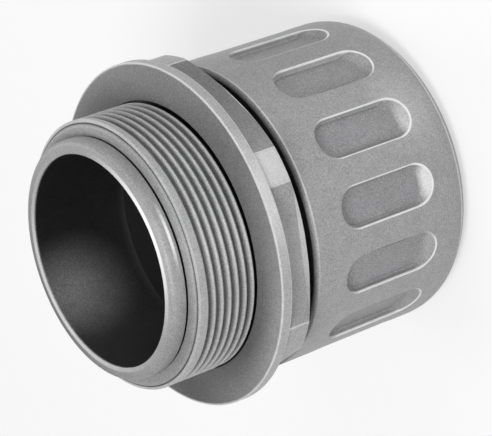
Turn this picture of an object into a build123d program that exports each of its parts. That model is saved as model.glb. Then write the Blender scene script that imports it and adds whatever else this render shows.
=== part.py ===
from build123d import *
import os
from math import cos, radians, tan

# Straight connector for corrugated flexible conduit, standing on the rear end of its nut.
# Millimetres. The origin is the centre of the nut's rear face and +Z runs to the threaded mouth.
# Both threads are plain cylinders here, each at the size that its mating part has to clear.

# Connecting thread, given by its outside, which sets the connector's nominal size
entry_thread_diameter = 47.0
entry_thread_length = 11.95
entry_chamfer_length = 0.6
entry_chamfer_depth = 1.2

# Cable bore and conduit socket
nose_wall = 5.0
socket_shoulder_width = 3.0
socket_floor_below_face = 4.1
conduit_clearance = 0.25
corrugation_pitch = 4.2
corrugation_depth = 1.7

# Rounded mouth in front of the connecting thread
lip_length = 3.0
lip_wall = 2.35
lip_edge_radius = 0.6
lip_bore_edge_radius = 0.3
relief_width = 0.35
relief_depth = 0.45

# Flange, and the relief groove in its face around the thread
flange_width = 6.7
flange_thickness = 2.05
flange_edge_radius = 0.2
face_groove_width = 0.9
face_groove_depth = 0.9

# Wrenching hexagon with its corners turned off
hex_flat_setback = 3.1
hex_corner_setback = 0.4
hex_length = 6.1
hex_chamfer_angle = 30.0

# Threaded skirt that enters the nut
skirt_wall = 1.65
skirt_pilot_length = 5.6
skirt_thread_height = 0.65
skirt_neck_length = 1.6
skirt_neck_depth = 1.05
skirt_end_chamfer = 0.25
skirt_rim_width = 0.1
collet_cone_angle = 20.0

# Compression nut
nut_length = 35.4
nut_wall = 3.25
nut_front_chamfer_length = 0.7
nut_front_chamfer_depth = 0.75
nut_shoulder_radius = 4.0
nut_bore_lead_in = 1.0
nut_thread_overrun = 2.1
nut_thread_clearance = 0.1
nut_chamber_depth = 0.7
nut_end_wall = 4.0
nut_entry_clearance = 0.5
nut_entry_chamfer = 0.6
nut_gap_to_hex = 1.5
nut_turn_at_rest = 3.5

# Oval finger grips round the nut
grip_count = 14
grip_length = 19.8
grip_width = 7.1
grip_depth = 1.4
grip_wall_draft = 0.2
grip_scoop_length = 1.5
grip_floor_radius = 0.35
grip_rear_margin = 8.8

# Clamping ring, a split collet
collet_side_clearance = 1.4
collet_conduit_clearance = 0.1
collet_body_length = 8.0
collet_nose_wall = 0.45
collet_tightening_travel = 1.2
collet_end_gap = 0.3
collet_cone_clearance = 0.06
collet_rib_count = 2
collet_rib_width = 2.0
collet_rib_draft = 0.4
collet_first_rib_height = 3.0
collet_slot_count = 12
collet_slot_width = 1.6
collet_slot_start = 2.2

# Sealing ring at the bottom of the socket
seal_length = 4.6
seal_clearance = 0.1
seal_bore_clearance = 0.3
seal_groove_depth = 2.4
seal_lip_edge = 0.5

# Heights above the nut's rear face
hex_rear_z = nut_length + nut_gap_to_hex
hex_front_z = hex_rear_z + hex_length
flange_face_z = hex_front_z + flange_thickness
thread_front_z = flange_face_z + entry_thread_length
mouth_z = thread_front_z + lip_length
socket_floor_z = flange_face_z - socket_floor_below_face
collet_cone_z = nut_end_wall + collet_body_length
skirt_end_z = collet_cone_z + collet_tightening_travel + collet_end_gap
skirt_thread_end_z = skirt_end_z + skirt_pilot_length

# Radii, from the connecting thread inwards and out again to the nut
entry_thread_radius = entry_thread_diameter / 2
cable_bore_radius = entry_thread_radius - nose_wall
socket_radius = cable_bore_radius + socket_shoulder_width
conduit_radius = socket_radius - conduit_clearance
flange_radius = entry_thread_radius + flange_width
skirt_pilot_radius = socket_radius + skirt_wall
skirt_thread_radius = skirt_pilot_radius + skirt_thread_height
nut_thread_radius = skirt_thread_radius + nut_thread_clearance
nut_chamber_radius = nut_thread_radius + nut_chamber_depth
nut_radius = nut_thread_radius + nut_wall
cone_mouth_radius = skirt_pilot_radius - skirt_end_chamfer - skirt_rim_width
cone_slope = tan(radians(collet_cone_angle))


def turned(points):
    """Solid of revolution about Z from (radius, height) corners."""
    outline = Polyline([(radius, 0, height) for radius, height in points], close=True)
    return revolve(make_face(outline), axis=Axis.Z)


def ring_edges(part, radius, height):
    """Circular edges of a turned part at one radius and height."""
    found = part.edges().filter_by(GeomType.CIRCLE)
    found = found.filter_by(lambda edge: abs(edge.arc_center.Z - height) < 1e-4)
    return found.filter_by(lambda edge: abs(edge.radius - radius) < 1e-4)


def connector_nose():
    """Mouth lip, connecting thread and flange, with the cable bore through them."""
    lip_radius = cable_bore_radius + lip_wall
    groove_radius = entry_thread_radius + face_groove_width
    nose = turned(
        [
            (cable_bore_radius, mouth_z),
            (lip_radius, mouth_z),
            (lip_radius, thread_front_z + relief_width),
            (lip_radius - relief_depth, thread_front_z + relief_width),
            (lip_radius - relief_depth, thread_front_z),
            (entry_thread_radius - entry_chamfer_depth, thread_front_z),
            (entry_thread_radius, thread_front_z - entry_chamfer_length),
            (entry_thread_radius, flange_face_z - face_groove_depth),
            (groove_radius, flange_face_z - face_groove_depth),
            (groove_radius, flange_face_z),
            (flange_radius, flange_face_z),
            (flange_radius, hex_front_z),
            (cable_bore_radius, hex_front_z),
        ]
    )
    nose = fillet(ring_edges(nose, lip_radius, mouth_z), lip_edge_radius)
    nose = fillet(ring_edges(nose, cable_bore_radius, mouth_z), lip_bore_edge_radius)
    rim = ring_edges(nose, flange_radius, flange_face_z) + ring_edges(nose, flange_radius, hex_front_z)
    return fillet(rim, flange_edge_radius)


def wrench_hexagon():
    """Hexagon prism with turned corners and a 30 degree chamfer on its rear face."""
    corner_radius = flange_radius - hex_corner_setback
    flat_radius = flange_radius - hex_flat_setback
    outline = RegularPolygon(radius=flat_radius, side_count=6, major_radius=False, rotation=30)
    flats = extrude(Pos(0, 0, hex_rear_z) * outline, amount=hex_length)
    corner_drop = (corner_radius - flat_radius) * tan(radians(hex_chamfer_angle))
    envelope = turned(
        [
            (0, hex_rear_z),
            (flat_radius, hex_rear_z),
            (corner_radius, hex_rear_z + corner_drop),
            (corner_radius, hex_front_z),
            (0, hex_front_z),
        ]
    )
    return flats & envelope


def threaded_skirt():
    """Neck, threaded length and plain pilot below the hexagon."""
    neck_radius = skirt_thread_radius - skirt_neck_depth
    thread_top_z = hex_rear_z - skirt_neck_length
    return turned(
        [
            (0, hex_rear_z),
            (neck_radius, hex_rear_z),
            (neck_radius, thread_top_z),
            (skirt_thread_radius, thread_top_z - skirt_neck_depth),
            (skirt_thread_radius, skirt_thread_end_z + skirt_thread_height),
            (skirt_pilot_radius, skirt_thread_end_z),
            (skirt_pilot_radius, skirt_end_z + skirt_end_chamfer),
            (skirt_pilot_radius - skirt_end_chamfer, skirt_end_z),
            (0, skirt_end_z),
        ]
    )


def socket_core():
    """Cable bore, conduit socket and the cone that closes the clamping ring."""
    cone_length = (cone_mouth_radius - socket_radius) / cone_slope
    return turned(
        [
            (0, skirt_end_z),
            (cone_mouth_radius, skirt_end_z),
            (socket_radius, skirt_end_z + cone_length),
            (socket_radius, socket_floor_z),
            (cable_bore_radius, socket_floor_z),
            (cable_bore_radius, mouth_z),
            (0, mouth_z),
        ]
    )


def connector_body():
    """The whole one-piece moulding."""
    return connector_nose() + wrench_hexagon() + threaded_skirt() - socket_core()


def finger_grip():
    """Tool for one grip: straight sides, a rounded front end and a scooped rear end."""
    floor_x = nut_radius - grip_depth
    outer_x = nut_radius + grip_depth
    centre_z = grip_rear_margin + grip_length / 2
    draft = grip_wall_draft
    scoop = grip_scoop_length

    def outline(x, growth):
        length = grip_length - (draft + scoop) * (1 - growth)
        shift = (scoop - draft) / 2 * (1 - growth)
        width = grip_width - 2 * draft * (1 - growth)
        plane = Plane(origin=(x, 0, centre_z + shift), x_dir=(0, 0, 1), z_dir=(1, 0, 0))
        return plane * SlotOverall(length, width)

    tool = loft([outline(floor_x, 0), outline(outer_x, 2)], ruled=True)
    floor_edges = tool.faces().sort_by(Axis.X)[0].edges()
    return fillet(floor_edges, grip_floor_radius)


def compression_nut():
    """Round nut with a rounded rear shoulder, finger grips and the conduit entry."""
    entry_radius = conduit_radius + nut_entry_clearance
    thread_end_z = skirt_thread_end_z - nut_thread_overrun
    nut = turned(
        [
            (nut_thread_radius + nut_bore_lead_in, nut_length),
            (nut_radius - nut_front_chamfer_depth, nut_length),
            (nut_radius, nut_length - nut_front_chamfer_length),
            (nut_radius, 0),
            (entry_radius + nut_entry_chamfer, 0),
            (entry_radius, nut_entry_chamfer),
            (entry_radius, nut_end_wall),
            (nut_chamber_radius, nut_end_wall),
            (nut_chamber_radius, thread_end_z - nut_chamber_depth),
            (nut_thread_radius, thread_end_z),
            (nut_thread_radius, nut_length - nut_bore_lead_in),
        ]
    )
    nut = fillet(ring_edges(nut, nut_radius, 0), nut_shoulder_radius)
    first_grip_angle = nut_turn_at_rest - 90
    grips = PolarLocations(0, grip_count, start_angle=first_grip_angle) * finger_grip()
    return nut - grips


def clamping_ring():
    """Split collet with inner ribs that lock into the conduit's corrugations."""
    outer_radius = nut_chamber_radius - collet_side_clearance
    inner_radius = conduit_radius + collet_conduit_clearance
    rib_radius = conduit_radius - corrugation_depth
    rear_z = nut_end_wall
    cone_foot_radius = cone_mouth_radius + collet_end_gap * cone_slope - collet_cone_clearance
    nose_radius = inner_radius + collet_nose_wall
    nose_z = collet_cone_z + (cone_foot_radius - nose_radius) / cone_slope
    rib_root_radius = (inner_radius + nose_radius) / 2
    ring = turned(
        [
            (inner_radius, rear_z),
            (outer_radius, rear_z),
            (outer_radius, collet_cone_z),
            (cone_foot_radius, collet_cone_z),
            (nose_radius, nose_z),
            (inner_radius, nose_z),
        ]
    )
    for number in range(collet_rib_count):
        foot_z = rear_z + collet_first_rib_height + number * corrugation_pitch
        top_z = foot_z + collet_rib_width
        ring += turned(
            [
                (rib_radius, foot_z + collet_rib_draft),
                (inner_radius, foot_z),
                (rib_root_radius, foot_z),
                (rib_root_radius, top_z),
                (inner_radius, top_z),
                (rib_radius, top_z - collet_rib_draft),
            ]
        )
    slot_base_z = rear_z + collet_slot_start

    def slot(base_z):
        height = nose_z - base_z
        cutter = Box(outer_radius, collet_slot_width, height, align=(Align.MIN, Align.CENTER, Align.MIN))
        return Pos(outer_radius / 2, 0, base_z) * cutter

    ring -= PolarLocations(0, collet_slot_count) * slot(slot_base_z)
    return ring - slot(rear_z)


def sealing_ring():
    """Soft ring with two lips towards the end of the conduit."""
    outer_radius = socket_radius - seal_clearance
    inner_radius = cable_bore_radius + seal_bore_clearance
    end_z = socket_floor_z - seal_length
    middle_radius = (outer_radius + inner_radius) / 2
    return turned(
        [
            (inner_radius, socket_floor_z),
            (outer_radius, socket_floor_z),
            (outer_radius, end_z),
            (outer_radius - seal_lip_edge, end_z),
            (middle_radius, end_z + seal_groove_depth),
            (inner_radius + seal_lip_edge, end_z),
            (inner_radius, end_z),
        ]
    )


parts = {
    "connector_body": connector_body(),
    "compression_nut": compression_nut(),
    "clamping_ring": clamping_ring(),
    "sealing_ring": sealing_ring(),
}

os.makedirs("parts", exist_ok=True)
for name, solid in parts.items():
    export_step(solid, f"parts/{name}.step")
    print(name, round(solid.volume, 2), "mm3")
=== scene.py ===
import math

import bmesh
import bpy
from bpy.props import FloatProperty, FloatVectorProperty, IntProperty, PointerProperty
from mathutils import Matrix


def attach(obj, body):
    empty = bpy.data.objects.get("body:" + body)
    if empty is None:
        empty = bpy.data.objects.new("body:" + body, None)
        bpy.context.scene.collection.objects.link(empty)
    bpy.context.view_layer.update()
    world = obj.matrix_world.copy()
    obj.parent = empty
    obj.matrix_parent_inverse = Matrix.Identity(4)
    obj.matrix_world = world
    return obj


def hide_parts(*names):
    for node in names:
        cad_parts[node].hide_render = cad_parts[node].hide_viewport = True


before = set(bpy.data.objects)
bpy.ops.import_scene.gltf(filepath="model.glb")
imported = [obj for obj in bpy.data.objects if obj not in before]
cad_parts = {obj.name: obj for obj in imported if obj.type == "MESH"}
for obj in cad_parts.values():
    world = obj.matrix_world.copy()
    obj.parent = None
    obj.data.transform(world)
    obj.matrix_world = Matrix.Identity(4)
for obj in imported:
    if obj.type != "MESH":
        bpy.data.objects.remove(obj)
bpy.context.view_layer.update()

bl_info = {
    "name": "Flexible conduit connector",
    "version": (1, 0, 0),
    "blender": (4, 5, 0),
    "location": "3D View > Sidebar > Connector",
    "description": "Builds a straight connector for corrugated conduit around its packed CAD frame",
    "category": "Object",
}

# A full turn in radians, and a millimetre in metres
TURN = 2 * math.pi
MM = 1e-3


def length(name, description, millimetres):
    """A length property, given in millimetres and kept in metres."""
    return FloatProperty(
        name=name, description=description, default=millimetres * MM, precision=5, unit="LENGTH"
    )


def angle(name, description, degrees):
    """An angle property, given in degrees and kept in radians."""
    return FloatProperty(name=name, description=description, default=math.radians(degrees), subtype="ANGLE")


def colour(name, description, red, green, blue):
    """A linear colour property."""
    return FloatVectorProperty(
        name=name,
        description=description,
        default=(red, green, blue, 1.0),
        size=4,
        min=0.0,
        max=1.0,
        subtype="COLOR",
    )


def factor(name, description, value):
    """A plain number from 0 to 1."""
    return FloatProperty(
        name=name, description=description, default=value, min=0.0, max=1.0, subtype="FACTOR"
    )


def power(name, description, watts):
    """A lamp's power."""
    return FloatProperty(name=name, description=description, default=watts, min=0.0, unit="POWER")


class BodySizes(bpy.types.PropertyGroup):
    """Sizes of the moulded body."""

    bore_radius: length("Bore radius", "Cable way through the threaded nose", 18.5)
    bore_edge: length("Bore edge", "Rounding where the bore meets the lip", 0.15)
    mouth_height: length("Mouth height", "Top of the lip above the nut's rear face", 60.0)
    lip_radius: length("Lip radius", "Side of the smooth lip in front of the thread", 20.85)
    lip_edge: length("Lip edge", "Rounding between the lip's front and its side", 0.85)
    relief_width: length("Relief width", "Height of the groove behind the lip", 0.35)
    relief_depth: length("Relief depth", "Depth of the groove behind the lip", 0.45)
    thread_radius: length("Thread radius", "Outside of the connecting thread", 23.5)
    thread_top: length("Thread top", "Height of the thread's front face", 57.0)
    thread_lead: length("Thread lead", "Pitch of the connecting thread", 1.5875)
    thread_depth: length("Thread depth", "Depth of the connecting thread", 0.76)
    thread_start: angle("Thread start", "Climb of the crest above the flange, as part of a turn", 245.0)
    thread_first: length("First groove", "Height at which the first groove has faded out", 55.3)
    thread_fade: length("Groove fade", "Climb over which the first groove gets its depth", 0.5)
    ring_groove_radius: length("Ring groove radius", "Fine groove next to the front ring", 22.86)
    ring_groove_width: length("Ring groove width", "Width of the fine groove", 0.32)
    ring_groove_depth: length("Ring groove depth", "Depth of the fine groove", 0.28)
    thread_bottom: length("Thread bottom", "Height where the thread ends above its relief", 45.5)
    thread_relief_radius: length("Thread relief", "Radius of the relief between thread and flange", 22.5)
    thread_chamfer: length("Thread chamfer", "Height of the chamfer on the first turn", 0.6)
    thread_chamfer_depth: length("Thread chamfer depth", "How far the chamfer goes in", 1.2)
    flange_radius: length("Flange radius", "Outside of the flange", 30.2)
    flange_top: length("Flange top", "Height of the flange's face", 45.05)
    flange_bottom: length("Flange bottom", "Height of the flange's rear side", 43.0)
    flange_edge: length("Flange edge", "Rounding of the flange's rim", 0.2)
    groove_width: length("Groove width", "Width of the groove in the flange's face", 0.15)
    groove_depth: length("Groove depth", "Depth of the groove in the flange's face", 0.9)
    hex_flat_radius: length("Flat radius", "Axis to the middle of a wrench flat", 27.1)
    hex_corner_radius: length("Corner radius", "Axis to the turned corners", 29.8)
    hex_bottom: length("Hexagon bottom", "Height of the hexagon's rear face", 36.9)
    hex_edge: length("Hexagon edge", "Width of the softened edge at the rear of the flats", 0.16)
    neck_radius: length("Neck radius", "Relief between the hexagon and the inner thread", 22.75)
    neck_height: length("Neck height", "Length of the relief", 1.6)
    skirt_thread_radius: length("Skirt thread radius", "Outside of the thread that the nut turns on", 23.8)
    skirt_pilot_radius: length("Pilot radius", "Plain end of the skirt", 23.15)
    skirt_thread_bottom: length("Skirt thread bottom", "Height where the skirt's thread ends", 19.1)
    skirt_bottom: length("Skirt bottom", "Height of the skirt's end", 13.5)
    skirt_chamfer: length("Skirt chamfer", "Chamfer on the skirt's end", 0.25)
    cone_radius: length("Cone radius", "Mouth of the cone that closes the clamping ring", 22.8)
    socket_radius: length("Socket radius", "Seat of the conduit", 21.5)
    socket_floor: length("Socket floor", "Height of the step between socket and bore", 40.95)


class NutSizes(bpy.types.PropertyGroup):
    """Sizes of the compression nut."""

    radius: length("Radius", "Outside of the nut", 27.15)
    height: length("Height", "Length of the nut", 35.4)
    front_chamfer: length("Front chamfer", "Height of the chamfer next to the hexagon", 0.7)
    front_chamfer_depth: length("Front chamfer depth", "How far the chamfer goes in", 0.75)
    shoulder: length("Shoulder", "How far in the rounding of the rear end reaches", 4.7)
    shoulder_rise: length("Shoulder rise", "How far up the rounding of the rear end reaches", 5.1)
    lead_in: length("Lead-in", "Chamfer at the mouth of the nut's thread", 1.0)
    thread_radius: length("Thread radius", "Bottom of the nut's thread", 23.9)
    thread_bottom: length("Thread bottom", "Height where the nut's thread ends", 17.0)
    thread_height: length("Thread height", "Depth of the thread between skirt and nut", 0.65)
    thread_lead: length("Thread lead", "Travel of the body for one turn of the nut", 3.0)
    chamber_radius: length("Chamber radius", "Room for the clamping ring", 24.6)
    end_wall: length("End wall", "Thickness of the rear wall", 4.0)
    entry_radius: length("Entry radius", "Opening for the conduit", 21.75)
    entry_chamfer: length("Entry chamfer", "Chamfer round the conduit's opening", 0.6)
    turn_at_rest: angle("Turn at rest", "How far the nut is turned against the hexagon", 3.5)
    grip_count: IntProperty(name="Grips", description="Oval finger grips round the nut", default=14, min=3)
    grip_length: length("Grip length", "Length of a grip at its mouth", 19.8)
    grip_width: length("Grip width", "Width of a grip at its mouth", 7.1)
    grip_depth: length("Grip depth", "Depth of a grip at its middle", 1.4)
    grip_draft: length("Grip draft", "How much narrower the floor is on each side", 0.2)
    grip_scoop: length("Grip scoop", "Extra slope at the rear end", 1.5)
    grip_margin: length("Grip margin", "Rear face to the rear end of a grip", 8.8)
    grip_floor_edge: length("Grip floor edge", "Rounding between floor and wall", 0.45)
    grip_mouth_edge: length("Grip mouth edge", "Rounding between wall and outside", 0.28)


class Finishes(bpy.types.PropertyGroup):
    """Colours of the connector and of the studio."""

    body: colour("Body", "Moulded body", 0.30, 0.30, 0.305)
    # Turned rim and corner lands: lighter than the body, partly their smoother turned surface and mostly
    # painted sheen; the sheen colours are painted highlights where the light falls
    body_rim: colour("Rim", "Turned rim of the flange", 0.385, 0.385, 0.385)
    rim_sheen: colour("Rim sheen", "The stretch of the rim that catches the light", 0.62, 0.62, 0.62)
    body_land: colour("Corner lands", "Turned corners of the hexagon", 0.36, 0.36, 0.36)
    land_sheen: colour("Corner sheen", "The corner that catches the light", 0.61, 0.61, 0.61)
    # Painted shade and painted light on the wrench flats, and a painted highlight along one flat's rear edge
    flat_shade: colour("Flat shade", "Darker end of one wrench flat", 0.155, 0.155, 0.157)
    flat_light: colour("Flat light", "Lighter middle of the next flat", 0.37, 0.37, 0.372)
    flat_edge_highlight: colour("Flat edge", "Rear edge of the next flat", 0.60, 0.60, 0.60)
    # The flange's face is painted darker than the body as shade, as it turns from the light, with painted
    # patches of deeper shade and of light towards the rim
    body_face: colour("Face", "Face of the flange", 0.165, 0.165, 0.168)
    face_shade: colour("Face shade", "Darker side of the flange's face", 0.115, 0.115, 0.117)
    face_top_shade: colour("Face top", "Stretch of the face between the two", 0.148, 0.148, 0.15)
    face_light: colour("Face light", "Side of the face that brightens towards the rim", 0.29, 0.29, 0.292)
    face_deep_shade: colour("Face dark", "Darkest end of the face", 0.07, 0.07, 0.071)
    # The bore is painted nearly black as shade, with painted light inside the mouth
    body_bore: colour("Bore", "Inside of the cable way", 0.012, 0.012, 0.013)
    bore_glow: colour("Bore glow", "Lighter patch inside the mouth", 0.215, 0.215, 0.217)
    bore_faint_glow: colour("Bore haze", "Wider and fainter patch round it", 0.034, 0.034, 0.035)
    body_lip: colour("Lip", "Lip and front ring", 0.285, 0.285, 0.288)
    # Painted sheen and painted shade on the lip, and a painted highlight along its inner edge on the far side
    lip_sheen: colour("Lip sheen", "The side of the lip that catches the light", 0.375, 0.375, 0.378)
    lip_shade: colour("Lip shade", "Outer part of the lip where it turns from the light", 0.13, 0.13, 0.132)
    lip_line_highlight: colour("Lip line", "Inner edge of the lip on the same side", 0.58, 0.58, 0.58)
    # Painted highlights along edges: the rim, the corner lands, the hexagon's rear, the nut's front edge and
    # a line on its shoulder
    edge: colour("Edges", "Rubbed edges that catch the light", 0.60, 0.60, 0.60)
    # Painted highlight, near white, along the near stretch of the mouth's edge and on the lip's side
    mouth_edge: colour("Mouth edge", "Polished part of the mouth's edge", 0.95, 0.95, 0.95)
    # Painted shade: deep narrow grooves and the nut's front face, where shade falls, painted nearly black
    gap: colour("Grooves", "Deep narrow grooves", 0.004, 0.004, 0.004)
    # Painted light on the thread's crests and painted shade in its roots
    thread: colour("Thread", "Crests of the connecting thread", 0.43, 0.43, 0.432)
    root: colour("Thread roots", "Roots of the connecting thread", 0.135, 0.135, 0.136)
    nut: colour("Nut", "Compression nut", 0.32, 0.32, 0.325)
    nut_sheen: colour("Nut sheen", "Patch near the shoulder that catches the light", 0.42, 0.42, 0.423)
    nut_shade: colour("Nut shade", "Side of the nut that turns from the light", 0.27, 0.27, 0.274)
    # Painted shade in the grips: floors and feet darker, scoops a little less dark; painted highlights on the
    # walls, on the scoops near the light and along the grips' mouths
    grip: colour("Grip floor", "Floors of the finger grips", 0.27, 0.27, 0.275)
    grip_line: colour("Grip lines", "Rubbed line round the mouths of the grips", 0.78, 0.78, 0.78)
    line_shade: colour("Line shade", "Stretches of the line that lie in shade", 0.09, 0.09, 0.092)
    grip_foot_shade: colour("Grip feet", "Rounding between the grips' floors and walls", 0.225, 0.225, 0.228)
    grip_wall_highlight: colour("Grip walls", "Steep sides of the grips", 0.40, 0.40, 0.404)
    scoop: colour("Scoops", "Sloped rear ends of the grips", 0.30, 0.30, 0.303)
    scoop_sheen: colour("Scoop sheen", "The scoops that catch the light", 0.66, 0.66, 0.66)
    shoulder_shade: colour("Shoulder shade", "Rear part of the nut's shoulder", 0.20, 0.20, 0.203)
    ring: colour("Clamping ring", "Split clamping ring", 0.45, 0.45, 0.44)
    seal: colour("Seal", "Sealing ring", 0.01, 0.01, 0.0105)
    floor: colour("Floor", "Studio floor", 0.90, 0.90, 0.90)


class StudioSettings(bpy.types.PropertyGroup):
    """Camera and lamps."""

    camera_focal_length: FloatProperty(
        name="Focal length", description="Lens in millimetres", default=190.2439
    )
    camera_place: FloatVectorProperty(
        name="Camera place",
        description="Where the camera stands",
        default=(-0.06047495, -0.36728842, 0.27781121),
        size=3,
        precision=5,
        unit="LENGTH",
    )
    camera_turn: FloatVectorProperty(
        name="Camera turn",
        description="How the camera is turned, as XYZ angles",
        default=(math.radians(-27.0278814), math.radians(51.4280576), math.radians(-132.2328475)),
        size=3,
        subtype="EULER",
        unit="ROTATION",
    )
    key_power: power("Key", "Power of the main lamp", 3.2)
    fill_power: power("Fill", "Power of the soft lamp", 1.2)
    rim_power: power("Rim", "Power of the lamp behind", 1.0)
    ambient: factor("Ambient", "Light from all round", 0.35)


# Meshes


class Skin:
    """Points and faces of one moulding while it is being made, in rows round the Z axis."""

    def __init__(self, angles):
        self.angles = angles
        self.points = []
        self.faces = []

    def add_points(self, points):
        first = len(self.points)
        self.points.extend(points)
        return list(range(first, len(self.points)))

    def row(self, radius, height):
        """A closed row. Radius and height are numbers, or functions of the angle."""
        points = []
        for turn in self.angles:
            far = radius(turn) if callable(radius) else radius
            high = height(turn) if callable(height) else height
            points.append((far * math.cos(turn), far * math.sin(turn), high))
        return self.add_points(points)

    def turned(self, corners, steps=5):
        """Closed rows along a profile with rounded corners."""
        return [self.row(radius, height) for radius, height in rounded(corners, steps)]

    def join(self, first, second, closed=True):
        """Quads between two rows of the same length."""
        count = len(first)
        for place in range(count if closed else count - 1):
            after = (place + 1) % count
            self.faces.append((first[place], first[after], second[after], second[place]))

    def follow(self, rows):
        """Joins each row to the next."""
        for first, second in zip(rows, rows[1:]):
            self.join(first, second)

    def thread(self, low, high, lead, start, fractions, radius):
        """Rows that climb with a right-hand thread from low to high. Returns the top and the bottom row.

        Rows that would pass an end are held there, and their points merge when the mesh is finished.
        """
        spare = 2  # turns that begin below the low end, so that it is covered all round
        turns = math.ceil((high - low) / lead) + spare + 1
        base = low - spare * lead + (start - low) % lead
        steps = len(fractions)
        rows = []
        for turn_number in range(turns + 1):
            for fraction in fractions:
                points = []
                for turn in self.angles:
                    high_free = base + lead * (turn_number + fraction + turn / TURN)
                    level = min(max(high_free, low), high)
                    far = radius(turn, level)
                    points.append((far * math.cos(turn), far * math.sin(turn), level))
                rows.append(self.add_points(points))
        last = len(rows) - 1
        for place in range(last):
            below, above = rows[place], rows[place + 1]
            self.join(below, above, closed=False)
            seam_below, seam_above = rows[min(place + steps, last)], rows[min(place + 1 + steps, last)]
            self.faces.append((below[-1], seam_below[0], seam_above[0], above[-1]))
        for place in range(steps):
            self.faces.append((rows[0][-1], rows[place][0], rows[place + 1][0], rows[0][-1]))
        return rows[-1], rows[0]

    def finish(self, name, merge=2e-6, sharp=math.radians(24)):
        """Makes the object: doubled points merged, faces turned outwards, shading sharp past an angle."""
        mesh = bpy.data.meshes.new(name)
        mesh.from_pydata(self.points, [], [face for face in self.faces if len(set(face)) > 2])
        work = bmesh.new()
        work.from_mesh(mesh)
        bmesh.ops.remove_doubles(work, verts=work.verts, dist=merge)
        bmesh.ops.dissolve_degenerate(work, edges=work.edges, dist=merge)
        bmesh.ops.recalc_face_normals(work, faces=work.faces)
        open_edges = sum(1 for edge in work.edges if not edge.is_manifold)
        work.to_mesh(mesh)
        work.free()
        if open_edges:
            raise RuntimeError(f"{name} isn't closed: {open_edges} open edges")
        mesh.shade_smooth()
        mesh.set_sharp_from_angle(angle=sharp)
        piece = bpy.data.objects.new(name, mesh)
        bpy.context.scene.collection.objects.link(piece)
        return piece


def rounded(corners, steps):
    """Points of a profile whose corners are (radius, height, rounding)."""
    side_share = 0.49  # what a rounding may take of each side, so that two never meet
    points = []
    for place, (across, up, size) in enumerate(corners):
        if size == 0 or place in (0, len(corners) - 1):
            points.append((across, up))
            continue
        before, after = corners[place - 1], corners[place + 1]
        in_x, in_y = before[0] - across, before[1] - up
        out_x, out_y = after[0] - across, after[1] - up
        in_length, out_length = math.hypot(in_x, in_y), math.hypot(out_x, out_y)
        in_x, in_y, out_x, out_y = in_x / in_length, in_y / in_length, out_x / out_length, out_y / out_length
        half = math.acos(max(-1, min(1, in_x * out_x + in_y * out_y))) / 2
        reach = min(size / math.tan(half), side_share * in_length, side_share * out_length)
        size = reach * math.tan(half)
        middle_x, middle_y = in_x + out_x, in_y + out_y
        middle = math.hypot(middle_x, middle_y)
        far = size / math.sin(half)
        centre = (across + middle_x / middle * far, up + middle_y / middle * far)
        begin = math.atan2(up + in_y * reach - centre[1], across + in_x * reach - centre[0])
        end = math.atan2(up + out_y * reach - centre[1], across + out_x * reach - centre[0])
        sweep = (end - begin + math.pi) % TURN - math.pi
        for step in range(steps + 1):
            at = begin + sweep * step / steps
            points.append((centre[0] + size * math.cos(at), centre[1] + size * math.sin(at)))
    return points


def smoothstep(low, high, value):
    """0 below low, 1 above high and smooth between them."""
    share = min(max((value - low) / (high - low), 0), 1)
    return share * share * (3 - 2 * share)


def interpolate(table, value):
    """Linear reading of a table of (place, result)."""
    for (first, low), (second, high) in zip(table, table[1:]):
        if value <= second:
            return low + (high - low) * (value - first) / (second - first)
    return table[-1][1]


# Share of the depth from a crest (0) to a root (1), with both rounded
V_HALF = ((0, 0), (0.10, 0.02), (0.2, 0.11), (0.34, 0.29))
V_THREAD = (*V_HALF, (0.5, 0.5), (0.66, 0.71), (0.8, 0.89), (0.9, 0.98), (1, 1))
FLAT_THREAD = ((0, 0), (0.3, 0), (0.36, 0.08), (0.5, 0.5), (0.64, 0.92), (0.7, 1), (1, 1))


def row_places(table):
    """Where the rows of one turn lie: the table's places, down one flank and up the other."""
    down = [place / 2 for place, share in table]
    return down + [1 - place for place in reversed(down[1:-1])]


def crest_distance(turn, level, lead, start):
    """How far a point is from the nearest crest, 0 on it and 1 in the root."""
    phase = ((level - start) / lead - turn / TURN) % 1
    return 2 * min(phase, 1 - phase)


# Columns of the body's mesh on each corner land and on each flat of the hexagon
LAND_STEPS, FLAT_STEPS = 8, 40
# Rows of the hexagon's softened rear edge, as shares of the edge inwards and upwards
HEX_ROUNDING = ((0, 1), (0.1, 0.55), (0.38, 0.17))
# Angles of the hexagon's rear chamfer and of the cone that closes the clamping ring
HEX_CHAMFER, COLLET_CONE = math.radians(30), math.radians(20)
# Rows of the mesh on the thread's chamfer and on the nut's shoulder
CHAMFER_STEPS, SHOULDER_STEPS = 6, 16


def hexagon_angles(size):
    """Directions of the body's columns, with one on each edge of the corner lands."""
    half_land = math.pi / 6 - math.acos(size.hex_flat_radius / size.hex_corner_radius)
    angles = []
    for corner in range(6):
        middle = math.pi / 6 + corner * math.pi / 3
        for step in range(LAND_STEPS):
            angles.append(middle - half_land + 2 * half_land * step / LAND_STEPS)
        for step in range(FLAT_STEPS):
            angles.append(middle + half_land + (math.pi / 3 - 2 * half_land) * step / FLAT_STEPS)
    return sorted(turn % TURN for turn in angles)


def hexagon_radius(size, turn):
    """Distance from the axis to the hexagon's side. Corners point along +Y and -Y."""
    from_flat = (turn + math.pi / 6) % (math.pi / 3) - math.pi / 6
    return min(size.hex_corner_radius, size.hex_flat_radius / math.cos(from_flat))


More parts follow.
